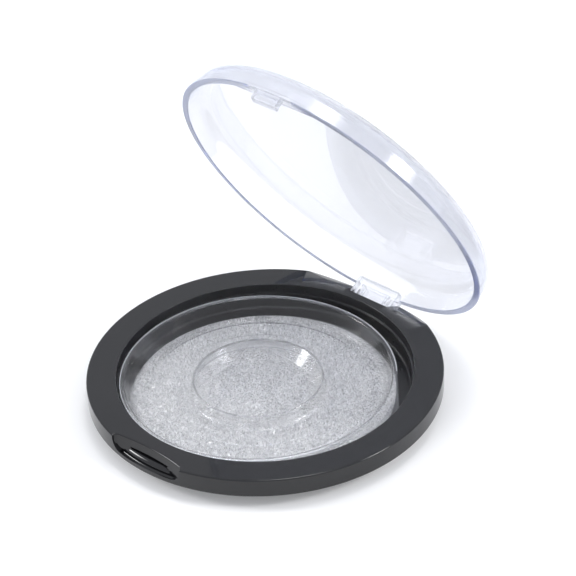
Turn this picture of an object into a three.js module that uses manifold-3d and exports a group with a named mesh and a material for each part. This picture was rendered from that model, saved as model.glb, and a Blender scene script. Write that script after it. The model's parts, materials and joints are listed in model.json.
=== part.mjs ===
// Round clear-lid cosmetic case, open. Millimetres, +Z up.
// Origin: middle of the base's flat underside. The hinge is at +Y, the thumb notch at -Y.
import * as THREE from "three";
import { mergeVertices } from "three/addons/utils/BufferGeometryUtils.js";
import Module from "manifold-3d";

const wasm = await Module();
wasm.setup();

// ---- driving dimensions -------------------------------------------------------------
const outerR = 39;            // base and lid
const deckZ = 7.4;            // top face of the base
const wallFootZ = 3.3;        // where the upright wall turns in under the base
const footR = 34.2;           // flat resting face
const edgeR = 0.35;           // break along the deck's outer edge
const wellR = 32.5;           // inner edge of the deck
const wellStepZ = 5.1;        // small step in the well's wall
const wellStep = 0.42;
const wellFloorZ = 1.4;

const backSlopeY = 34.6;      // the deck's back falls away outside this line
const backSlope = 0.527;      // fall per mm
const hingeY = 36.9;
const hingeZ = 5.0;
const hingeNotchHalf = 6.0;
const hingeNotchY = 34.45;
const stubR = 0.55;
const boreR = 0.62;
const boreEndX = 8.3;

const notchHalf = 9.7;        // thumb notch
const notchY = 35.95;
const notchArcR = 54;
const notchCornerR = 0.9;
const notchLean = 0.265;      // the notch's back wall leans out by this per mm of depth
const notchFloorZ = 4.3;
const notchFloorR = 2.4;
const windowHalf = 8;
const windowZ = [5.2, 5.7];
const windowY = 35.1;
const lipR = 37.7;            // outer edge of the lip under the window
const grooveR = 0.5;
const grooveHalf = 7.6;

const lidGap = 0.35;          // closed lid above the deck
const lidH = 7.05;
const lidWallTopR = 38.7;
const lidCornerR = 4.3;
const lidWall = 1.55;
const lidTop = 1.3;
const lidRingR = 31.5;        // shallow swell inside the top
const lidOpen = 63.5;         // degrees from closed, at rest
const webY = 36.0;            // latch web across the front of the rim
const webT = 1.2;
const hookHalf = 3.2;
const hookDrop = 2.3;
const blockHalf = 5.7;        // hinge block
const knuckleR = 1.75;
const slitX = 3.6;            // slits that let the stub pins spring in
const slitHalf = 0.25;

const cardR = 29.2;
const cardT = 0.38;
const cardAt = [0.2, -1.2];
const gap = 0.02;             // under each loose piece

const trayAt = [-0.95, -1.25];
const trayT = 0.4;
const trayRimR = 30.35;
const trayRimZ = 6.15;
const trayFlange = 0.85;
const trayFootR = 27.35;
const trayCrestR = 14.2;      // ridge round the dished middle
const trayCrestZ = 5.5;
const trayDishR = 11.1;
const trayDishZ = 2.4;
const trayRidgeFootR = 15.0;
const trayRingR = 20.2;       // small steps in the ring-shaped floor
const trayRingStep = 0.1;
const trayOuterR = 25.1;
const trayOuterStep = 0.28;
const trayTabR = 33.1;
const trayTabAt = 10;         // degrees from +X
const trayTabHalf = 31;

// ---- helpers ------------------------------------------------------------------------
const rad = (deg) => (deg * Math.PI) / 180;

// points along an arc, angles in degrees
const arc = (cx, cy, r, a0, a1, n) =>
  Array.from({ length: n + 1 }, (_, i) => {
    const a = rad(a0 + ((a1 - a0) * i) / n);
    return [cx + r * Math.cos(a), cy + r * Math.sin(a)];
  });

const polar = (r, deg) => [r * Math.cos(rad(deg)), r * Math.sin(rad(deg))];

// geometry to a closed solid, facing out
function solid(geometry) {
  const g = geometry.clone();
  g.deleteAttribute("normal");
  g.deleteAttribute("uv");
  const m = mergeVertices(g, 1e-5);
  const tris = [];
  for (let i = 0; i < m.index.count; i += 3) {
    const [a, b, c] = [m.index.getX(i), m.index.getX(i + 1), m.index.getX(i + 2)];
    if (a !== b && b !== c && c !== a) tris.push(a, b, c);
  }
  const make = (t) =>
    new wasm.Manifold(
      new wasm.Mesh({
        numProp: 3,
        vertProperties: new Float32Array(m.attributes.position.array),
        triVerts: new Uint32Array(t),
      }),
    );
  const s = make(tris);
  if (s.volume() > 0) return s;
  const flipped = [];
  for (let i = 0; i < tris.length; i += 3) flipped.push(tris[i], tris[i + 2], tris[i + 1]);
  return make(flipped);
}

// profile of [radius, z] points turned about the Z axis
function turned(profile, segments = 96) {
  const points = profile.map(([r, z]) => new THREE.Vector2(r, z));
  return solid(new THREE.LatheGeometry(points, segments).rotateX(Math.PI / 2));
}

function extruded(outline, depth, basis) {
  const shape = new THREE.Shape(outline.map(([u, v]) => new THREE.Vector2(u, v)));
  const g = new THREE.ExtrudeGeometry(shape, { depth, bevelEnabled: false, steps: 1 });
  return g.applyMatrix4(basis);
}
const X = new THREE.Vector3(1, 0, 0);
const Y = new THREE.Vector3(0, 1, 0);
const Z = new THREE.Vector3(0, 0, 1);
const basis = (u, v, w) => new THREE.Matrix4().makeBasis(u, v, w);

// [x, y] outline raised from z0 to z1
const raised = (outline, z0, z1) =>
  solid(extruded(outline, z1 - z0, basis(X, Y, Z)).translate(0, 0, z0));
// [y, z] outline swept across x0 to x1
const across = (outline, x0, x1) =>
  solid(extruded(outline, x1 - x0, basis(Y, Z, X)).translate(x0, 0, 0));
// [x, z] outline swept towards -Y, from y0 down to y1
const forward = (outline, y0, y1) =>
  solid(extruded(outline, y0 - y1, basis(X, Z, Y.clone().negate())).translate(0, y0, 0));
const box = (x0, x1, y0, y1, z0, z1) =>
  raised([[x0, y0], [x1, y0], [x1, y1], [x0, y1]], z0, z1);

// ---- base ---------------------------------------------------------------------------
const baseProfile = [
  [0, 0], [footR, 0], [outerR - 0.28, wallFootZ - 0.22], [outerR, wallFootZ + 0.1],
  ...arc(outerR - edgeR, deckZ - edgeR, edgeR, 0, 90, 3),
  [wellR + 0.22, deckZ], [wellR, deckZ - 0.22], [wellR, wellStepZ + 0.12],
  [wellR - wellStep, wellStepZ - 0.12], [wellR - wellStep - 0.1, wellFloorZ + 0.4],
  [wellR - wellStep - 0.5, wellFloorZ], [0, wellFloorZ],
];
let base = turned(baseProfile);

// the deck's back slopes down so that the lid's rim can swing past it
const slopeEndY = outerR + 3;
base = base.subtract(
  across(
    [
      [backSlopeY - 0.5, deckZ + 0.5 * backSlope],
      [slopeEndY, deckZ - backSlope * (slopeEndY - backSlopeY)],
      [slopeEndY, deckZ + 2], [backSlopeY - 0.5, deckZ + 2],
    ],
    -outerR, outerR,
  ),
);
// hinge notch right through, and a blind bore in each cheek
base = base.subtract(
  box(-hingeNotchHalf, hingeNotchHalf, hingeNotchY, outerR + 3, -1, deckZ + 2),
);
base = base.subtract(across(arc(hingeY, hingeZ, boreR, 0, 348.75, 31), -boreEndX, boreEndX));

// thumb notch: an arc across the front with rounded ends and a rounded floor
const notchArcY = -(notchY + notchArcR);
const backOfNotch = (x) => notchArcY + Math.sqrt(notchArcR ** 2 - x ** 2);
const cornerY = backOfNotch(notchHalf - notchCornerR) - notchCornerR;
const arcEnds = Array.from({ length: 13 }, (_, i) => {
  const x = (notchHalf - notchCornerR) * (i / 6 - 1);
  return [x, backOfNotch(x)];
});
const plan = raised(
  [
    [notchHalf, -outerR - 3],
    ...arc(notchHalf - notchCornerR, cornerY, notchCornerR, 0, 75, 4),
    ...arcEnds.slice(1, -1).reverse(),
    ...arc(notchCornerR - notchHalf, cornerY, notchCornerR, 105, 180, 4),
    [-notchHalf, -outerR - 3],
  ],
  notchFloorZ - 2, deckZ + 1,
).transform([1, 0, 0, 0, 0, 1, 0, 0, 0, notchLean, 1, 0, 0, -notchLean * deckZ, 0, 1]);
const front = forward(
  [
    ...arc(notchFloorR - notchHalf, notchFloorZ + notchFloorR, notchFloorR, 180, 270, 6),
    ...arc(notchHalf - notchFloorR, notchFloorZ + notchFloorR, notchFloorR, 270, 360, 6),
    [notchHalf, deckZ + 2], [-notchHalf, deckZ + 2],
  ],
  -notchY + 4, -outerR - 2,
);
// the lip is left standing under the window
const lip = turned([
  [wellR, 0], [wellR, windowZ[0]], [lipR - 1.35, windowZ[0]], [lipR - 0.65, windowZ[0] - 0.14],
  [lipR - 0.2, windowZ[0] - 0.42], [lipR, notchFloorZ], [lipR, 0], [wellR, 0],
]);
base = base.subtract(plan.intersect(front).subtract(lip));
base = base.subtract(
  box(-windowHalf, windowHalf, -outerR, -windowY, windowZ[0], windowZ[1]).intersect(
    turned([[0, 0], [lipR - 0.6, 0], [lipR - 0.6, deckZ], [0, deckZ]]),
  ),
);
// concave groove between the lip and the strip of wall in front of it
const groove = turned(
  [...arc(lipR + grooveR, notchFloorZ, grooveR, 180, 360, 8), [lipR + 2 * grooveR, deckZ],
   [lipR, deckZ], [lipR, notchFloorZ]],
);
base = base.subtract(
  groove.intersect(
    box(-grooveHalf, grooveHalf, -outerR - 1, 0, notchFloorZ - grooveR - 0.1, notchFloorZ + 0.3),
  ),
);

// ---- lid, drawn closed --------------------------------------------------------------
const rimZ = deckZ + lidGap;
const up = (points) => points.map(([r, z]) => [r, z + rimZ]);
const lidCornerZ = lidH - 0.3 - lidCornerR;
const innerCornerR = lidCornerR - 1.4;
const lidProfile = up([
  [0, lidH], [lidWallTopR - lidCornerR - 8, lidH - 0.08],
  ...arc(lidWallTopR - lidCornerR, lidCornerZ, lidCornerR, 90, 0, 7),
  [outerR, 0.25], [outerR - 0.2, 0], [outerR - lidWall + 0.15, 0], [outerR - lidWall, 0.2],
  ...arc(lidWallTopR - lidCornerR - 0.1, lidCornerZ, innerCornerR, 0, 90, 6),
  [lidRingR + 1.2, lidCornerZ + innerCornerR + 0.06],
  [lidRingR - 1.6, lidH - lidTop - 0.02], [0, lidH - lidTop],
]);
let lid = turned(lidProfile);

// latch web: a flat piece of the rim across the front, with the hook under it
const web = turned(up([[0, 0], [outerR - 0.6, 0], [outerR - 0.6, webT], [0, webT]]));
lid = lid.add(web.intersect(box(-outerR, outerR, -outerR - 1, -webY, 0, 30)));
lid = lid.add(
  across(
    [
      [-38.75, rimZ + 0.6], [-38.6, rimZ - hookDrop + 0.45], [-38.2, rimZ - hookDrop],
      [-36.95, rimZ - hookDrop], [-36.75, rimZ - hookDrop + 0.3], [-36.85, rimZ - hookDrop + 0.6],
      [-37.1, rimZ - hookDrop + 0.9], [-37.1, rimZ + 0.6],
    ],
    -hookHalf, hookHalf,
  ),
);
// hinge block with its two stub pins
const blockTopZ = rimZ + 1.1;
let block = across(
  [
    ...arc(hingeY, hingeZ, knuckleR, 180, 360, 14),
    [hingeY + knuckleR - 0.2, blockTopZ], [hingeY - knuckleR, blockTopZ],
  ],
  -blockHalf, blockHalf,
);
for (const side of [-1, 1]) {
  const x = side * slitX;
  block = block.subtract(
    box(x - slitHalf, x + slitHalf, hingeY - 4, hingeY + 4, 0, rimZ - 0.5),
  );
}
lid = lid.add(block);
const stub = boreEndX - 0.4;
lid = lid.add(across(arc(hingeY, hingeZ, stubR, 0, 348.75, 31), slitX + 0.8, stub));
lid = lid.add(across(arc(hingeY, hingeZ, stubR, 0, 348.75, 31), -stub, -slitX - 0.8));
// swing it open about the hinge axis
lid = lid
  .translate([0, -hingeY, -hingeZ])
  .rotate([-lidOpen, 0, 0])
  .translate([0, hingeY, hingeZ]);

// ---- glitter card and tray ----------------------------------------------------------
const cardZ = wellFloorZ + gap;
const card = turned([[0, cardZ], [cardR, cardZ], [cardR, cardZ + cardT], [0, cardZ + cardT]], 72)
  .translate([...cardAt, 0]);

const t0 = cardZ + cardT + gap;
const flangeR = trayRimR - trayFlange;
// upper face, from the middle outwards
const floorZ = t0 + trayT;
const shelfZ = floorZ + trayOuterStep;
const innerZ = shelfZ + trayRingStep;
const trayTop = [
  [0, trayDishZ], [trayDishR - 0.4, trayDishZ], [trayDishR + 0.3, trayDishZ + 0.3],
  [trayCrestR - 0.45, trayCrestZ - 0.35], [trayCrestR - 0.15, trayCrestZ - 0.1],
  [trayCrestR + 0.15, trayCrestZ - 0.1], [trayCrestR + 0.35, trayCrestZ - 0.4],
  [trayRidgeFootR, innerZ + 0.35], [trayRidgeFootR + 0.3, innerZ],
  [trayRingR - 0.2, innerZ], [trayRingR + 0.2, shelfZ],
  [trayOuterR - 0.3, shelfZ], [trayOuterR + 0.3, floorZ],
  [trayFootR - 1.1, floorZ], [trayFootR - 0.5, floorZ + 0.2], [trayFootR - 0.05, floorZ + 0.75],
  [flangeR - 0.25, trayRimZ - 0.35], [flangeR, trayRimZ], [trayRimR, trayRimZ],
];
const trayUnder = [
  [trayRimR, trayRimZ - trayT], [flangeR + 0.3, trayRimZ - trayT],
  [trayFootR + 0.35, t0 + 0.75], [trayFootR, t0 + 0.25], [trayFootR - 0.5, t0],
  [trayOuterR + 0.15, t0], [trayOuterR - 0.45, shelfZ - trayT],
  [trayRingR + 0.1, shelfZ - trayT], [trayRingR - 0.3, innerZ - trayT],
  [trayRidgeFootR + 0.1, innerZ - trayT], [trayRidgeFootR - 0.4, innerZ - trayT + 0.5],
  [trayCrestR - 0.02, trayCrestZ - 0.5 - trayT / 2], [trayCrestR - 0.15, trayCrestZ - 0.5 - trayT / 2],
  [trayDishR + 0.57, trayDishZ + 0.3 - 0.7 * trayT], [trayDishR - 0.2, trayDishZ - trayT],
  [0, trayDishZ - trayT],
];
let tray = turned([...trayTop, ...trayUnder], 84);
// pull tab: the flange runs out along two tangents to a blunt end
const tabSpread = (Math.acos(trayRimR / trayTabR) * 180) / Math.PI;
const [tab0, tab1] = [trayTabAt - trayTabHalf, trayTabAt + trayTabHalf];
const tab = raised(
  [
    polar(trayRimR - 0.05, tab0),
    ...arc(0, 0, trayTabR, tab0 + tabSpread, tab1 - tabSpread, 6),
    polar(trayRimR - 0.05, tab1),
    ...arc(0, 0, flangeR + 0.35, tab1, tab0, 16),
  ],
  trayRimZ - trayT, trayRimZ,
);
tray = tray.add(tab).translate([...trayAt, 0]);

// ---- scene --------------------------------------------------------------------------
const group = new THREE.Group();
function place(name, body, material) {
  const { vertProperties, triVerts } = body.getMesh();
  const g = new THREE.BufferGeometry();
  g.setAttribute("position", new THREE.BufferAttribute(vertProperties, 3));
  g.setIndex(new THREE.BufferAttribute(triVerts, 1));
  g.computeVertexNormals();
  const mesh = new THREE.Mesh(g, new THREE.MeshStandardMaterial({ ...material, flatShading: true }));
  mesh.name = name;
  group.add(mesh);
}
place("base_shell", base, { color: "#1c1d20", roughness: 0.16, metalness: 0 });
place("clear_lid", lid, { color: "#e9ecf8", roughness: 0.05, metalness: 0 });
place("lash_tray", tray, { color: "#dde1e8", roughness: 0.12, metalness: 0 });
place("glitter_card", card, { color: "#c8cbd0", roughness: 0.4, metalness: 0.6 });

export default group;
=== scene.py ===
import json
import math

import bmesh
import bpy
from mathutils import Matrix, Vector


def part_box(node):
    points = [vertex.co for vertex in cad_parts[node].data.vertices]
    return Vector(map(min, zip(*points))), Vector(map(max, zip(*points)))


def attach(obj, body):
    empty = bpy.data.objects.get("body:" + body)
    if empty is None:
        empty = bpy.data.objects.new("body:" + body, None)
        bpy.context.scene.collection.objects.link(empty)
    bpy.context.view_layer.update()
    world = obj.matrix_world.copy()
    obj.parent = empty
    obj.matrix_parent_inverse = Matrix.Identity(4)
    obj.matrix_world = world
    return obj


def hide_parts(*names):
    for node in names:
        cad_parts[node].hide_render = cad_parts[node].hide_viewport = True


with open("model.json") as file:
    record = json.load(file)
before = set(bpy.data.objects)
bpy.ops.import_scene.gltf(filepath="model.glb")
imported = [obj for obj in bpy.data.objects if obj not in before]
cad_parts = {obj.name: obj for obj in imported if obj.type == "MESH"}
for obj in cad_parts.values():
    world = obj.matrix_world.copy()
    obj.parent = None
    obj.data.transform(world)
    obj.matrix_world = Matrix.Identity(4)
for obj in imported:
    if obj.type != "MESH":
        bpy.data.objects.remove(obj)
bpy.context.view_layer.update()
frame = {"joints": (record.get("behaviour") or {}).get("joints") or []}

# Shapes are drawn in millimetres and scaled to metres when a piece is finished.
MM = 0.001
TURN_STEPS = 288
THIN_TURN_STEPS = 240          # tray and card

# ---- places taken from the frame ----------------------------------------------------
base_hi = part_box("base_shell")[1] / MM
card_lo, card_hi = (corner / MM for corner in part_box("glitter_card"))
tray_lo, tray_hi = (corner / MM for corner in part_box("lash_tray"))
hinge = next(j for j in frame["joints"] if j["name"] == "lid_hinge")
HINGE_Y, HINGE_Z = (value / MM for value in hinge["pos_m"][1:])

OUTER_R = base_hi.x
DECK_Z = base_hi.z
CARD_R = (card_hi.x - card_lo.x) / 2
CARD_CENTRE = ((card_lo.x + card_hi.x) / 2, (card_lo.y + card_hi.y) / 2)
TRAY_R = (tray_hi.y - tray_lo.y) / 2
TRAY_CENTRE = (tray_lo.x + TRAY_R, (tray_lo.y + tray_hi.y) / 2)

# ---- base ---------------------------------------------------------------------------
WALL_FOOT_Z = 3.27
FOOT_R = 34.2
DECK_EDGE_R = 0.35
WELL_R = 32.5
WELL_EDGE_R = 0.22
WELL_STEP_Z = 5.1
WELL_STEP = 0.42
WELL_FLOOR_Z = 1.4

BACK_SLOPE_Y = 34.6
BACK_SLOPE = 0.527
HINGE_NOTCH_HALF = 6.0
HINGE_NOTCH_Y = 34.45
BORE_R = 0.62
BORE_END_X = 8.3

NOTCH_HALF = 9.7
NOTCH_Y = 35.95
NOTCH_ARC_R = 54
NOTCH_CORNER_R = 0.9
NOTCH_LEAN = 0.265
NOTCH_FLOOR_Z = 4.3
NOTCH_FLOOR_R = 2.4
NOTCH_EDGE_R = 0.22
WINDOW_HALF = 8
WINDOW_Z = (5.2, 5.7)
WINDOW_Y = 35.1
LIP_R = 37.7
GROOVE_R = 0.5
GROOVE_HALF = 7.6

# ---- lid ----------------------------------------------------------------------------
LID_GAP = 0.35
RIM_Z = DECK_Z + LID_GAP
LID_H = 7.05
LID_TOP_DROP = 0.3
LID_WALL_TOP_R = 38.7
LID_CORNER_R = 4.3
LID_WALL = 1.55
LID_TOP = 1.3
LID_RING_R = 31.5
LID_RING_SWELL = 0.08
LID_RIM_BAND = 0.3
LID_OPEN = math.radians(63.5)
WEB_Y = 36.0
WEB_T = 1.2
HOOK_HALF = 3.2
HOOK_DROP = 2.3
HOOK_ROOT_Z = RIM_Z + 0.6
HOOK_FRONT_Y = -38.75
HOOK_BACK_Y = -37.1
HOOK_TIP_Y = (-38.55, -36.75)
BLOCK_HALF = 5.7
KNUCKLE_R = 1.75
SLIT_X = 3.6
SLIT_HALF = 0.25
STUB_R = 0.55

# ---- tray ---------------------------------------------------------------------------
TRAY_T = 0.4
TRAY_FLANGE = 0.85
TRAY_FOOT_R = 27.35
TRAY_CREST_R = 14.2
TRAY_CREST_Z = 5.5
TRAY_DISH_R = 11.1
TRAY_DISH_Z = 2.4
TRAY_RIDGE_FOOT_R = 15.0
TRAY_RING_R = 20.2
TRAY_RING_STEP = 0.1
TRAY_RING_RUN = 0.3             # half the width of the step's slope
TRAY_OUTER_R = 25.1
TRAY_OUTER_STEP = 0.28
TRAY_OUTER_RUN = 0.45
TRAY_TAB_R = 33.1
TRAY_TAB_AT = math.radians(10)
TRAY_TAB_HALF = math.radians(31)


# ---- mesh helpers -------------------------------------------------------------------
def to_object(name, bm):
    bmesh.ops.recalc_face_normals(bm, faces=bm.faces)
    mesh = bpy.data.meshes.new(name)
    bm.to_mesh(mesh)
    bm.free()
    obj = bpy.data.objects.new(name, mesh)
    bpy.context.scene.collection.objects.link(obj)
    return obj


def arc(cx, cy, r, a0, a1, steps):
    """Points along an arc, angles in degrees."""
    angles = [math.radians(a0 + (a1 - a0) * i / steps) for i in range(steps + 1)]
    return [(cx + r * math.cos(a), cy + r * math.sin(a)) for a in angles]


def rounded(corners, steps=6):
    """An open outline through (u, v, radius) corners, each turned into an arc of its radius."""
    points = []
    for i, (u, v, radius) in enumerate(corners):
        if radius == 0:
            points.append((u, v))
            continue
        here = Vector((u, v))
        before = Vector(corners[i - 1][:2]) - here
        after = Vector(corners[(i + 1) % len(corners)][:2]) - here
        half = before.angle(after) / 2
        reach = min(radius / math.tan(half), before.length * 0.49, after.length * 0.49)
        r = reach * math.tan(half)
        centre = here + (before.normalized() + after.normalized()).normalized() * (r / math.sin(half))
        start = here + before.normalized() * reach - centre
        end = here + after.normalized() * reach - centre
        a0 = math.atan2(start.y, start.x)
        turn = (math.atan2(end.y, end.x) - a0 + math.pi) % (2 * math.pi) - math.pi
        for k in range(steps + 1):
            a = a0 + turn * k / steps
            points.append((centre.x + r * math.cos(a), centre.y + r * math.sin(a)))
    return points


def skin(top, thickness):
    """The closed section of a formed sheet: its upper face, a round end, and its even underside."""
    under = []
    for i, (r, z) in enumerate(top):
        along = Vector(top[min(i + 1, len(top) - 1)]) - Vector(top[max(i - 1, 0)])
        along.normalize()
        under.append((r + along.y * thickness, z - along.x * thickness))
    end_r, end_z = top[-1]
    end = arc(end_r, end_z - thickness / 2, thickness / 2, 90, -90, 8)
    return top + end[1:-1] + under[::-1]


def lathe(name, profile, steps=TURN_STEPS):
    """(radius, z) points turned about Z. The profile ends on the axis, or closes on itself."""
    bm = bmesh.new()
    rings = []
    for r, z in profile:
        if r < 1e-6:
            rings.append([bm.verts.new((0, 0, z))] * steps)
        else:
            turn = [2 * math.pi * i / steps for i in range(steps)]
            rings.append([bm.verts.new((r * math.cos(a), r * math.sin(a), z)) for a in turn])
    if profile[0][0] > 1e-6:
        rings.append(rings[0])
    for a, b in zip(rings, rings[1:]):
        for i in range(steps):
            j = (i + 1) % steps
            corners = dict.fromkeys([a[i], a[j], b[j], b[i]])
            bm.faces.new(corners)
    return to_object(name, bm)


def loft(name, sections):
    """A closed solid through rings of points with the same count."""
    bm = bmesh.new()
    rings = [[bm.verts.new(p) for p in section] for section in sections]
    for a, b in zip(rings, rings[1:]):
        for i in range(len(a)):
            j = (i + 1) % len(a)
            bm.faces.new((a[i], a[j], b[j], b[i]))
    bm.faces.new(rings[0])
    bm.faces.new(rings[-1])
    return to_object(name, bm)


def raised(name, outline, z0, z1):
    """An (x, y) outline drawn up from z0 to z1."""
    return loft(name, [[(x, y, z) for x, y in outline] for z in (z0, z1)])


def across(name, outline, x0, x1):
    """A (y, z) outline drawn along X."""
    return loft(name, [[(x, y, z) for y, z in outline] for x in (x0, x1)])


def forward(name, outline, y0, y1):
    """An (x, z) outline drawn along Y."""
    return loft(name, [[(x, y, z) for x, z in outline] for y in (y0, y1)])


def box(name, x0, x1, y0, y1, z0, z1):
    return raised(name, [(x0, y0), (x1, y0), (x1, y1), (x0, y1)], z0, z1)


def combine(obj, tool, operation):
    """Cuts, joins or intersects obj with tool, and removes the tool."""
    m = obj.modifiers.new("cut", "BOOLEAN")
    m.operation, m.solver, m.object = operation, "EXACT", tool
    graph = bpy.context.evaluated_depsgraph_get()
    mesh = bpy.data.meshes.new_from_object(obj.evaluated_get(graph))
    obj.modifiers.clear()
    obj.data = mesh
    bpy.data.objects.remove(tool)
    return obj


def cut(obj, tool):
    return combine(obj, tool, "DIFFERENCE")


def join(obj, tool):
    return combine(obj, tool, "UNION")


def common(obj, tool):
    return combine(obj, tool, "INTERSECT")


def finish_piece(obj, material, body, node, move=Matrix(), sharp=32):
    """Scales the piece to metres, smooths it, gives it its material and stands it for its CAD node."""
    bm = bmesh.new()
    bm.from_mesh(obj.data)
    bmesh.ops.remove_doubles(bm, verts=bm.verts, dist=2e-4)
    bmesh.ops.dissolve_degenerate(bm, edges=bm.edges, dist=1e-4)
    bm.to_mesh(obj.data)
    bm.free()
    obj.data.transform(Matrix.Scale(MM, 4) @ move)
    obj.data.materials.clear()
    obj.data.materials.append(material)
    obj.data.shade_smooth()
    obj.data.set_sharp_from_angle(angle=math.radians(sharp))
    weighted = obj.modifiers.new("even_normals", "WEIGHTED_NORMAL")
    weighted.mode, weighted.keep_sharp, weighted.weight = "FACE_AREA", True, 50
    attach(obj, body)
    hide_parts(node)
    return obj


# ---- materials ----------------------------------------------------------------------
class Nodes:
    """A small helper around one node tree."""

    def __init__(self, tree):
        self.tree = tree
        self.tree.nodes.clear()

    def add(self, kind, inputs=None, **settings):
        node = self.tree.nodes.new(kind)
        for key, value in settings.items():
            setattr(node, key, value)
        for key, value in (inputs or {}).items():
            if isinstance(value, bpy.types.NodeSocket):
                self.tree.links.new(value, node.inputs[key])
            else:
                node.inputs[key].default_value = value
        return node

    def noise(self, scale, detail=2.0, roughness=0.5):
        where = self.add("ShaderNodeTexCoord").outputs["Object"]
        return self.add(
            "ShaderNodeTexNoise",
            {"Vector": where, "Scale": scale, "Detail": detail, "Roughness": roughness},
        ).outputs["Fac"]

    def spread(self, value, low, high):
        """value's middle range stretched to low..high."""
        node = self.add("ShaderNodeMapRange", {"Value": value, "From Min": 0.3, "From Max": 0.7})
        node.inputs["To Min"].default_value = low
        node.inputs["To Max"].default_value = high
        return node.outputs["Result"]

    def bump(self, height, strength, distance, normal=None):
        inputs = {"Height": height, "Strength": strength, "Distance": distance}
        if normal is not None:
            inputs["Normal"] = normal
        return self.add("ShaderNodeBump", inputs).outputs["Normal"]

    def blend(self, fac, a, b):
        """The value a where fac is 0 and b where it is 1."""
        return self.add("ShaderNodeMix", {0: fac, 2: a, 3: b}).outputs[0]

    def mix(self, fac, a, b):
        node = self.add("ShaderNodeMix", data_type="RGBA")
        for socket, value in ((node.inputs[0], fac), (node.inputs[6], a), (node.inputs[7], b)):
            if isinstance(value, bpy.types.NodeSocket):
                self.tree.links.new(value, socket)
            else:
                socket.default_value = value
        return node.outputs[2]


def new_material(name):
    material = bpy.data.materials.new(name)
    material.use_nodes = True
    return material, Nodes(material.node_tree)


def from_axis(n, centre, inner, outer):
    """A mask that goes from 1 to 0 between two distances, in mm, from an upright axis."""
    where = n.add("ShaderNodeTexCoord").outputs["Object"]
    flat = n.add("ShaderNodeVectorMath", {0: where, 1: (1, 1, 0)}, operation="MULTIPLY")
    axis = (centre[0] * MM, centre[1] * MM, 0)
    away = n.add("ShaderNodeVectorMath", {0: flat.outputs[0], 1: axis}, operation="DISTANCE")
    fade = n.add("ShaderNodeMapRange", {
        "Value": away.outputs["Value"], "From Min": inner * MM, "From Max": outer * MM,
        "To Min": 1.0, "To Max": 0.0,
    })
    return fade.outputs["Result"]


def black_plastic():
    """Glossy moulded black with a very slight orange peel and faint wiping marks, dull in the well."""
    material, n = new_material("black_plastic")
    marks = n.noise(900, 4.0, 0.6)
    cloud = n.noise(60, 3.0)
    colour = n.mix(n.spread(cloud, 0, 1), (0.006, 0.006, 0.007, 1), (0.009, 0.009, 0.010, 1))
    in_well = from_axis(n, (0, 0), WELL_R + 0.05, WELL_R + WELL_EDGE_R)
    shader = n.add("ShaderNodeBsdfPrincipled", {
        "Base Color": colour,
        "Roughness": n.blend(in_well, n.spread(marks, 0.05, 0.11), n.spread(marks, 0.27, 0.31)),
        "IOR": 1.5,
        "Normal": n.bump(n.noise(260, 1.0), 0.12, 0.00004),
    })
    n.add("ShaderNodeOutputMaterial", {"Surface": shader.outputs[0]})
    return material


def finish_clear(n, shader):
    """Ends a lid material with the cool tint that the plastic has in its depth."""
    inside = n.add("ShaderNodeVolumeAbsorption", {"Color": (0.80, 0.84, 0.96, 1), "Density": 70.0})
    n.add("ShaderNodeOutputMaterial", {"Surface": shader.outputs[0], "Volume": inside.outputs[0]})


def clear_lid_plastic():
    """Clear polystyrene: refracts, and takes a cool tint where light runs a long way inside it."""
    material, n = new_material("clear_plastic")
    shader = n.add("ShaderNodeBsdfPrincipled", {
        "Base Color": (0.88, 0.885, 0.915, 1),
        "Roughness": n.spread(n.noise(700, 3.0), 0.0, 0.03),
        "IOR": 1.5,
        "Transmission Weight": 0.97,
        "Alpha": 0.7,
        "Normal": n.bump(n.noise(90, 1.0), 0.1, 0.00005),
    })
    finish_clear(n, shader)
    return material


def rim_painted_shade():
    """The rim's end face, painted dimmer and bluer as painted shade: it stands for the light piped
    along the wall that comes out here.
    """
    material, n = new_material("rim_painted_shade")
    shader = n.add("ShaderNodeBsdfPrincipled", {
        # painted shade: the rim face's base colour is made darker and bluer than the lid's own
        "Base Color": (0.76, 0.80, 0.88, 1),
        "Roughness": n.spread(n.noise(700, 3.0), 0.08, 0.18),
        "IOR": 1.5,
        "Transmission Weight": 0.7,
    })
    finish_clear(n, shader)
    return material


def tray_plastic():
    """Thin clear formed sheet, glossy on its floor and rim and drawn slightly hazy down its wall."""
    material, n = new_material("tray_plastic")
    gloss = n.spread(n.noise(700, 3.0), 0.03, 0.06)
    haze = n.spread(n.noise(500, 3.0), 0.12, 0.2)
    floor = from_axis(n, TRAY_CENTRE, TRAY_FOOT_R - 1.2, TRAY_FOOT_R - 0.2)
    below_rim = from_axis(n, TRAY_CENTRE, TRAY_R - TRAY_FLANGE - 0.7, TRAY_R - TRAY_FLANGE - 0.4)
    shader = n.add("ShaderNodeBsdfPrincipled", {
        "Base Color": (0.99, 0.99, 1.0, 1),
        "Roughness": n.blend(below_rim, gloss, n.blend(floor, haze, gloss)),
        "IOR": 1.46,
        "Transmission Weight": 1.0,
        "Alpha": 0.68,
        "Normal": n.bump(n.noise(110, 1.0), 0.12, 0.00005),
    })
    n.add("ShaderNodeOutputMaterial", {"Surface": shader.outputs[0]})
    return material


def cut_edge_and_highlight():
    """The tray's trimmed edge: dull and whitish, as clear sheet is where it is cut; its whitish colour
    is also a painted highlight for the bright line along the rim.
    """
    material, n = new_material("tray_cut_edge")
    shader = n.add("ShaderNodeBsdfPrincipled", {
        # partly painted highlight: this whitish colour stands in for the bright line the rim catches
        # from the lamps
        "Base Color": (0.92, 0.94, 0.98, 1),
        "Roughness": n.spread(n.noise(1500, 3.0), 0.15, 0.3),
        "IOR": 1.5,
        "Transmission Weight": 0.4,
    })
    n.add("ShaderNodeOutputMaterial", {"Surface": shader.outputs[0]})
    return material


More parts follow.
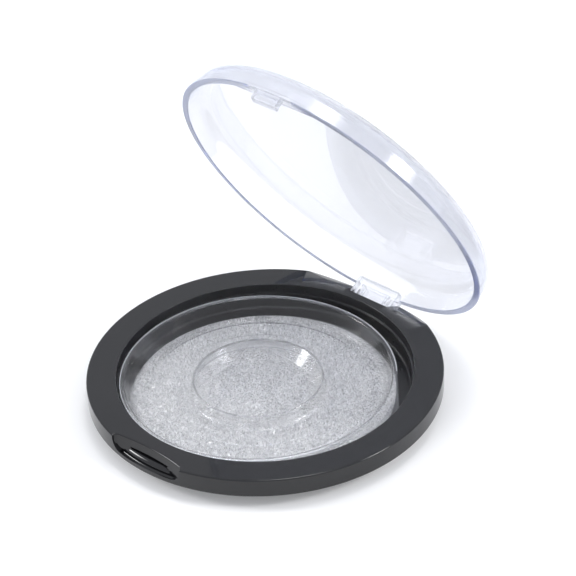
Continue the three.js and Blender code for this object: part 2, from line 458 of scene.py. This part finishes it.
def glitter():
    """Silver card covered with fine flakes, each tilted its own way, and sparser bright specks painted
    white, partly the flakes' own brighter tone and partly painted glints.
    """
    material, n = new_material("glitter_card")
    where = n.add("ShaderNodeTexCoord").outputs["Object"]
    flakes = n.add("ShaderNodeTexVoronoi", {"Vector": where, "Scale": 3300.0, "Randomness": 1.0})
    tone = n.add("ShaderNodeSeparateColor", {"Color": flakes.outputs["Color"]})
    grain = n.mix(tone.outputs[2], (0.53, 0.535, 0.54, 1), (1.0, 1.0, 1.0, 1))
    # painted glint: sparse specks are painted white, standing in part for flakes that catch the lamps
    specks = n.add("ShaderNodeTexVoronoi", {"Vector": where, "Scale": 2600.0, "Randomness": 1.0})
    near = n.add("ShaderNodeMapRange", {
        "Value": specks.outputs["Distance"], "From Min": 0.34, "From Max": 0.46,
        "To Min": 1.0, "To Max": 0.0,
    })
    pick = n.add("ShaderNodeSeparateColor", {"Color": specks.outputs["Color"]})
    glint_cells = n.add("ShaderNodeMath", {0: pick.outputs[0], 1: 0.34}, operation="GREATER_THAN")
    bright = n.add("ShaderNodeMath", {0: near.outputs[0], 1: glint_cells.outputs[0]}, operation="MULTIPLY")
    colour = n.mix(bright.outputs[0], grain, (1.0, 1.0, 1.0, 1))
    # each cell's colour, from -1 to 1 in x and y, tips the normal of its flake
    tilt = n.add("ShaderNodeVectorMath", {0: flakes.outputs["Color"], 1: (0.5, 0.5, 0.5)},
                 operation="SUBTRACT")
    tilt = n.add("ShaderNodeVectorMath", {0: tilt.outputs[0], 1: (1.5, 1.5, 0.0)},
                 operation="MULTIPLY")
    facing = n.add("ShaderNodeNewGeometry").outputs["Normal"]
    tipped = n.add("ShaderNodeVectorMath", {0: tilt.outputs[0], 1: facing}, operation="ADD")
    normal = n.add("ShaderNodeVectorMath", {0: tipped.outputs[0]}, operation="NORMALIZE")
    shader = n.add("ShaderNodeBsdfPrincipled", {
        "Base Color": colour,
        "Metallic": 0.3,
        "Roughness": n.spread(tone.outputs[1], 0.15, 0.4),
        "Normal": normal.outputs[0],
    })
    n.add("ShaderNodeOutputMaterial", {"Surface": shader.outputs[0]})
    return material


def floor_paper():
    material, n = new_material("floor_paper")
    colour = n.mix(n.noise(40, 3.0), (0.78, 0.78, 0.78, 1), (0.80, 0.80, 0.80, 1))
    shader = n.add("ShaderNodeBsdfPrincipled", {
        "Base Color": colour,
        "Roughness": 1.0,
        "Specular IOR Level": 0.0,
        "Emission Color": (1, 1, 1, 1),
        "Emission Strength": 0.16,
    })
    n.add("ShaderNodeOutputMaterial", {"Surface": shader.outputs[0]})
    return material


# ---- base ---------------------------------------------------------------------------
def notch_outline(grow):
    """The thumb notch seen from above, its back edge and round ends grown by grow."""
    corner_r = NOTCH_CORNER_R + grow
    back_r = NOTCH_ARC_R + grow
    centre_y = -(NOTCH_Y + NOTCH_ARC_R)
    corner_x = NOTCH_HALF - NOTCH_CORNER_R
    corner_y = centre_y + math.sqrt(NOTCH_ARC_R ** 2 - corner_x ** 2) - NOTCH_CORNER_R
    swing = math.degrees(math.asin(corner_x / NOTCH_ARC_R))
    back = arc(0, centre_y, back_r, 90 - swing + 1, 90 + swing - 1, 36)
    return [
        (NOTCH_HALF + grow, -OUTER_R - 3),
        *arc(corner_x, corner_y, corner_r, 0, 78, 8),
        *back,
        *arc(-corner_x, corner_y, corner_r, 102, 180, 8),
        (-NOTCH_HALF - grow, -OUTER_R - 3),
    ]


def notch_section(z, grow):
    shift = NOTCH_LEAN * (z - DECK_Z)
    return [(x, y + shift, z) for x, y in notch_outline(grow)]


def thumb_notch():
    """The finger recess, less the round lip that is left standing in it."""
    sections = [notch_section(NOTCH_FLOOR_Z - 2, 0)]
    for step in range(7):
        a = math.radians(15 * step)
        z = DECK_Z - NOTCH_EDGE_R * (1 - math.sin(a))
        sections.append(notch_section(z, NOTCH_EDGE_R * (1 - math.cos(a))))
    top = [(x, y, DECK_Z + 1) for x, y, _ in sections[-1]]
    recess = loft("recess", sections + [top])
    inner_x, inner_z = NOTCH_HALF - NOTCH_FLOOR_R, NOTCH_FLOOR_Z + NOTCH_FLOOR_R
    far = NOTCH_HALF + NOTCH_EDGE_R + 1
    bowl = forward(
        "bowl",
        [
            *arc(-inner_x, inner_z, NOTCH_FLOOR_R, 180, 270, 14),
            *arc(inner_x, inner_z, NOTCH_FLOOR_R, 270, 360, 14),
            (NOTCH_HALF, DECK_Z - NOTCH_EDGE_R - 0.05), (far, DECK_Z), (far, DECK_Z + 2),
            (-far, DECK_Z + 2), (-far, DECK_Z), (-NOTCH_HALF, DECK_Z - NOTCH_EDGE_R - 0.05),
        ],
        -NOTCH_Y + 4, -OUTER_R - 2,
    )
    common(recess, bowl)
    lip = lathe("lip", [
        (WELL_R, -1), (WELL_R, WINDOW_Z[0]),
        *rounded([
            (LIP_R - 1.8, WINDOW_Z[0], 0), (LIP_R - 0.62, WINDOW_Z[0], 0.9),
            (LIP_R, NOTCH_FLOOR_Z + 0.25, 0.9), (LIP_R, NOTCH_FLOOR_Z - 0.4, 0),
        ], 10),
        (LIP_R, -1),
    ])
    return cut(recess, lip)


def base_body():
    body = lathe("base_body", rounded([
        (0, 0, 0), (FOOT_R, 0, 0.8), (OUTER_R, WALL_FOOT_Z, 0.3),
        (OUTER_R, DECK_Z, DECK_EDGE_R), (WELL_R, DECK_Z, WELL_EDGE_R),
        (WELL_R, WELL_STEP_Z, 0.15), (WELL_R - WELL_STEP, WELL_STEP_Z - 0.1, 0.15),
        (WELL_R - WELL_STEP - 0.1, WELL_FLOOR_Z, 0.45), (0, WELL_FLOOR_Z, 0),
    ]))
    past = OUTER_R + 3
    cut(body, across("slope", [
        (BACK_SLOPE_Y - 0.5, DECK_Z + 0.5 * BACK_SLOPE),
        (past, DECK_Z - BACK_SLOPE * (past - BACK_SLOPE_Y)),
        (past, DECK_Z + 2), (BACK_SLOPE_Y - 0.5, DECK_Z + 2),
    ], -OUTER_R, OUTER_R))
    cut(body, box("hinge_notch", -HINGE_NOTCH_HALF, HINGE_NOTCH_HALF, HINGE_NOTCH_Y, past,
                  -1, DECK_Z + 2))
    cut(body, across("bore", arc(HINGE_Y, HINGE_Z, BORE_R, 0, 352.5, 47), -BORE_END_X, BORE_END_X))
    cut(body, thumb_notch())
    window = box("window", -WINDOW_HALF, WINDOW_HALF, -OUTER_R, -WINDOW_Y, *WINDOW_Z)
    reach = LIP_R - 0.6
    common(window, lathe("reach", [(0, 0), (reach, 0), (reach, DECK_Z), (0, DECK_Z)]))
    cut(body, window)
    groove = lathe("groove", [
        *arc(LIP_R + GROOVE_R, NOTCH_FLOOR_Z, GROOVE_R, 180, 360, 12),
        (LIP_R + 2 * GROOVE_R, DECK_Z), (LIP_R, DECK_Z),
    ])
    common(groove, box("groove_span", -GROOVE_HALF, GROOVE_HALF, -OUTER_R - 1, 0,
                       NOTCH_FLOOR_Z - GROOVE_R - 0.1, NOTCH_FLOOR_Z + 0.3))
    return cut(body, groove)


# ---- lid, drawn closed --------------------------------------------------------------
def lid_profile():
    corner_r, corner_z = LID_WALL_TOP_R - LID_CORNER_R, LID_H - LID_TOP_DROP - LID_CORNER_R
    inner_r = LID_CORNER_R - 1.4
    inner_z = LID_H - LID_TOP - LID_RING_SWELL - inner_r
    crown = [(0, LID_H), (corner_r - 16, LID_H - 0.035), (corner_r - 8, LID_H - 0.1)]
    outer = arc(corner_r, corner_z, LID_CORNER_R, 88, 0, 18)
    rim = rounded([
        (LID_WALL_TOP_R, corner_z, 0), (OUTER_R, 0, 0.22), (OUTER_R - LID_WALL, 0, 0.16),
        (corner_r - 0.1 + inner_r, inner_z, 0),
    ])
    inner = arc(corner_r - 0.1, inner_z, inner_r, 0, 90, 16)
    ring = rounded([
        (corner_r - 0.1, inner_z + inner_r, 0),
        (LID_RING_R + 1.2, inner_z + inner_r + 0.01, 3),
        (LID_RING_R - 1.6, LID_H - LID_TOP - 0.02, 6),
        (0, LID_H - LID_TOP, 0),
    ], 10)
    profile = crown + outer + rim[1:-1] + inner + ring[1:]
    return [(r, z + RIM_Z) for r, z in profile]


def lid_body():
    body = lathe("lid_body", lid_profile())
    web_r = OUTER_R - 0.6
    web = lathe("web", [(0, RIM_Z), (web_r, RIM_Z), (web_r, RIM_Z + WEB_T), (0, RIM_Z + WEB_T)])
    common(web, box("web_span", -OUTER_R, OUTER_R, -OUTER_R - 1, -WEB_Y, 0, 30))
    join(body, web)
    tip_z = RIM_Z - HOOK_DROP
    join(body, across("hook", [
        (HOOK_FRONT_Y, HOOK_ROOT_Z),
        *rounded([
            (HOOK_FRONT_Y, HOOK_ROOT_Z, 0), (HOOK_TIP_Y[0], tip_z, 0.5),
            (HOOK_TIP_Y[1], tip_z, 0.3), (HOOK_TIP_Y[1] - 0.05, tip_z + 0.6, 0.25),
            (HOOK_BACK_Y, tip_z + 0.95, 0.2), (HOOK_BACK_Y, HOOK_ROOT_Z, 0),
        ], 5)[1:],
    ], -HOOK_HALF, HOOK_HALF))
    block = across("block", [
        *arc(HINGE_Y, HINGE_Z, KNUCKLE_R, 180, 360, 28),
        (HINGE_Y + KNUCKLE_R - 0.2, RIM_Z + 1.1), (HINGE_Y - KNUCKLE_R, RIM_Z + 1.1),
    ], -BLOCK_HALF, BLOCK_HALF)
    for side in (-1, 1):
        x = side * SLIT_X
        cut(block, box("slit", x - SLIT_HALF, x + SLIT_HALF, HINGE_Y - 4, HINGE_Y + 4,
                       0, RIM_Z - 0.5))
    join(body, block)
    stub_end = BORE_END_X - 0.4
    pin = arc(HINGE_Y, HINGE_Z, STUB_R, 0, 352.5, 47)
    join(body, across("stub", pin, SLIT_X + 0.8, stub_end))
    join(body, across("stub", pin, -stub_end, -SLIT_X - 0.8))
    return body


def lid_swing():
    """Turns the closed lid about the hinge to where it stands at rest."""
    pivot = Matrix.Translation((0, HINGE_Y, HINGE_Z))
    return pivot @ Matrix.Rotation(-LID_OPEN, 4, "X") @ pivot.inverted()


def paint_rim_shade(lid):
    """Gives the end face of the lid's rim its painted-shade material, dimmer and bluer than the rest
    of the lid.
    """
    lid.data.materials.append(rim_painted_shade())
    closed = lid_swing().inverted()
    for face in lid.data.polygons:
        x, y, z = closed @ (face.center / MM)
        on_rim = RIM_Z - 0.02 < z < RIM_Z + LID_RIM_BAND and abs(x) > BLOCK_HALF
        if on_rim and math.hypot(x, y) > OUTER_R - LID_WALL - 0.1:
            face.material_index = 1


# ---- tray and card ------------------------------------------------------------------
def tray_body():
    low, rim_z = tray_lo.z, tray_hi.z
    flange_r = TRAY_R - TRAY_FLANGE
    floor_z = low + TRAY_T
    shelf_z = floor_z + TRAY_OUTER_STEP
    inner_z = shelf_z + TRAY_RING_STEP
    top = rounded([
        (0, TRAY_DISH_Z, 0), (TRAY_DISH_R, TRAY_DISH_Z, 1.4),
        (TRAY_CREST_R - 0.12, TRAY_CREST_Z, 0.45), (TRAY_CREST_R + 0.18, TRAY_CREST_Z, 0.45),
        (TRAY_RIDGE_FOOT_R, inner_z, 0.7),
        (TRAY_RING_R - TRAY_RING_RUN, inner_z, 1.0), (TRAY_RING_R + TRAY_RING_RUN, shelf_z, 1.0),
        (TRAY_OUTER_R - TRAY_OUTER_RUN, shelf_z, 1.2),
        (TRAY_OUTER_R + TRAY_OUTER_RUN, floor_z, 1.2),
        (TRAY_FOOT_R - 0.4, floor_z, 1.0), (flange_r - 0.1, rim_z, 1.0),
        (TRAY_R - TRAY_T / 2, rim_z, 0),
    ])
    body = lathe("tray_body", skin(top, TRAY_T), THIN_TURN_STEPS)
    # pull tab: the flange runs out along two tangents to a blunt end
    spread = math.acos(TRAY_R / TRAY_TAB_R)
    first, last = TRAY_TAB_AT - TRAY_TAB_HALF, TRAY_TAB_AT + TRAY_TAB_HALF
    turn = [math.degrees(a) for a in (first, first + spread, last - spread, last)]
    outline = [
        *arc(0, 0, TRAY_R - 0.05, turn[0], turn[0], 1)[:1],
        *arc(0, 0, TRAY_TAB_R, turn[1], turn[2], 14),
        *arc(0, 0, TRAY_R - 0.05, turn[3], turn[3], 1)[:1],
        *arc(0, 0, flange_r + 0.35, turn[3], turn[0], 30),
    ]
    return join(body, raised("tab", outline, rim_z - TRAY_T, rim_z))


def frost_and_highlight_edge(tray):
    """Gives the trimmed edge of the flange and its pull tab the dull, whitish cut-edge colour, which
    is partly a painted highlight along the rim.
    """
    tray.data.materials.append(cut_edge_and_highlight())
    for face in tray.data.polygons:
        x, y, _ = face.center / MM
        out = math.hypot(x - TRAY_CENTRE[0], y - TRAY_CENTRE[1])
        turn = math.atan2(y - TRAY_CENTRE[1], x - TRAY_CENTRE[0])
        on_tab = abs(turn - TRAY_TAB_AT) < TRAY_TAB_HALF
        if out > TRAY_R - TRAY_T / 2 and (abs(face.normal.z) < 0.9 or not on_tab):
            face.material_index = 1


def card_body():
    low, high = card_lo.z, card_hi.z
    return lathe("card_body", rounded([
        (0, low, 0), (CARD_R, low, 0.08), (CARD_R, high, 0.12), (0, high, 0),
    ], 3), THIN_TURN_STEPS)


# ---- stage --------------------------------------------------------------------------
LAMP_DISTANCE = 1.2             # metres, as are the sizes of the lamps


def make_floor():
    bm = bmesh.new()
    reach = 3.0
    corners = [(-reach, -reach, 0), (reach, -reach, 0), (reach, reach, 0), (-reach, reach, 0)]
    bm.faces.new([bm.verts.new(c) for c in corners])
    floor = to_object("floor", bm)
    floor.data.materials.append(floor_paper())


def soft_light(name, towards, size, power):
    """A square softbox in the given direction, turned to the object, bright in its middle."""
    data = bpy.data.lights.new(name, "AREA")
    data.shape, data.size, data.energy = "SQUARE", size, power
    data.use_nodes = True
    n = Nodes(data.node_tree)
    across_panel = n.add("ShaderNodeNewGeometry").outputs["Parametric"]
    away = n.add("ShaderNodeVectorMath", {0: across_panel, 1: (0.5, 0.5, 0)}, operation="DISTANCE")
    glow = n.add("ShaderNodeMapRange", {
        "Value": away.outputs["Value"], "From Min": 0.1, "From Max": 0.5,
        "To Min": 2.0, "To Max": 0.0,
    }, interpolation_type="SMOOTHSTEP")
    panel = n.add("ShaderNodeEmission", {"Strength": glow.outputs["Result"]})
    n.add("ShaderNodeOutputLight", {"Surface": panel.outputs[0]})
    lamp = bpy.data.objects.new(name, data)
    direction = Vector(towards).normalized()
    lamp.location = direction * LAMP_DISTANCE
    lamp.rotation_euler = direction.to_track_quat("Z", "Y").to_euler()
    bpy.context.scene.collection.objects.link(lamp)


def make_world():
    world = bpy.data.worlds.new("studio")
    world.use_nodes = True
    bpy.context.scene.world = world
    n = Nodes(world.node_tree)
    sky = n.add("ShaderNodeBackground", {"Color": (0.96, 0.985, 1.05, 1), "Strength": 0.86})
    n.add("ShaderNodeOutputWorld", {"Surface": sky.outputs[0]})


def make_camera():
    """The camera stands at the front right and looks down on the case."""
    azimuth, elevation, roll = math.radians(43.51), math.radians(36.52), math.radians(-3.21)
    distance, lens = 0.5533, 157.85
    off_x, off_y = -0.01094, -0.03746     # where the target falls, as slopes from the view's middle
    target = Vector((0, 0, 0.00318))
    back = Vector((math.sin(azimuth) * math.cos(elevation),
                   -math.cos(azimuth) * math.cos(elevation), math.sin(elevation)))
    right = Vector((math.cos(azimuth), math.sin(azimuth), 0))
    axes = Matrix((right, back.cross(right), back)).transposed()
    turn = Vector((0, 0, -1)).rotation_difference(Vector((off_x, off_y, -1))).to_matrix()
    axes = axes @ turn.inverted() @ Matrix.Rotation(roll, 3, "Z")
    data = bpy.data.cameras.new("camera")
    data.lens, data.sensor_width = lens, 36
    data.clip_start, data.clip_end = 0.01, 20
    camera = bpy.data.objects.new("camera", data)
    camera.matrix_world = Matrix.Translation(target + back * distance) @ axes.to_4x4()
    bpy.context.scene.collection.objects.link(camera)
    bpy.context.scene.camera = camera


# ---- scene --------------------------------------------------------------------------
make_camera()
make_world()
# light piped along inside the clear pieces takes many turns before it leaves them
paths = bpy.context.scene.cycles
paths.max_bounces, paths.glossy_bounces, paths.transmission_bounces = 32, 24, 24
make_floor()
soft_light("left", (-0.66, -0.46, 0.52), 0.45, 7.0)
soft_light("above", (0.0, 0.15, 1.0), 0.5, 5.2)
soft_light("right", (0.72, 0.34, 0.62), 0.45, 8.8)
bpy.context.scene.view_settings.view_transform = "Standard"

finish_piece(base_body(), black_plastic(), "base", "base_shell")
lid = finish_piece(lid_body(), clear_lid_plastic(), "lid", "clear_lid", lid_swing())
paint_rim_shade(lid)
tray = finish_piece(tray_body(), tray_plastic(), "tray", "lash_tray",
                    Matrix.Translation((*TRAY_CENTRE, 0)))
frost_and_highlight_edge(tray)
finish_piece(card_body(), glitter(), "base", "glitter_card",
             Matrix.Translation((*CARD_CENTRE, 0)))
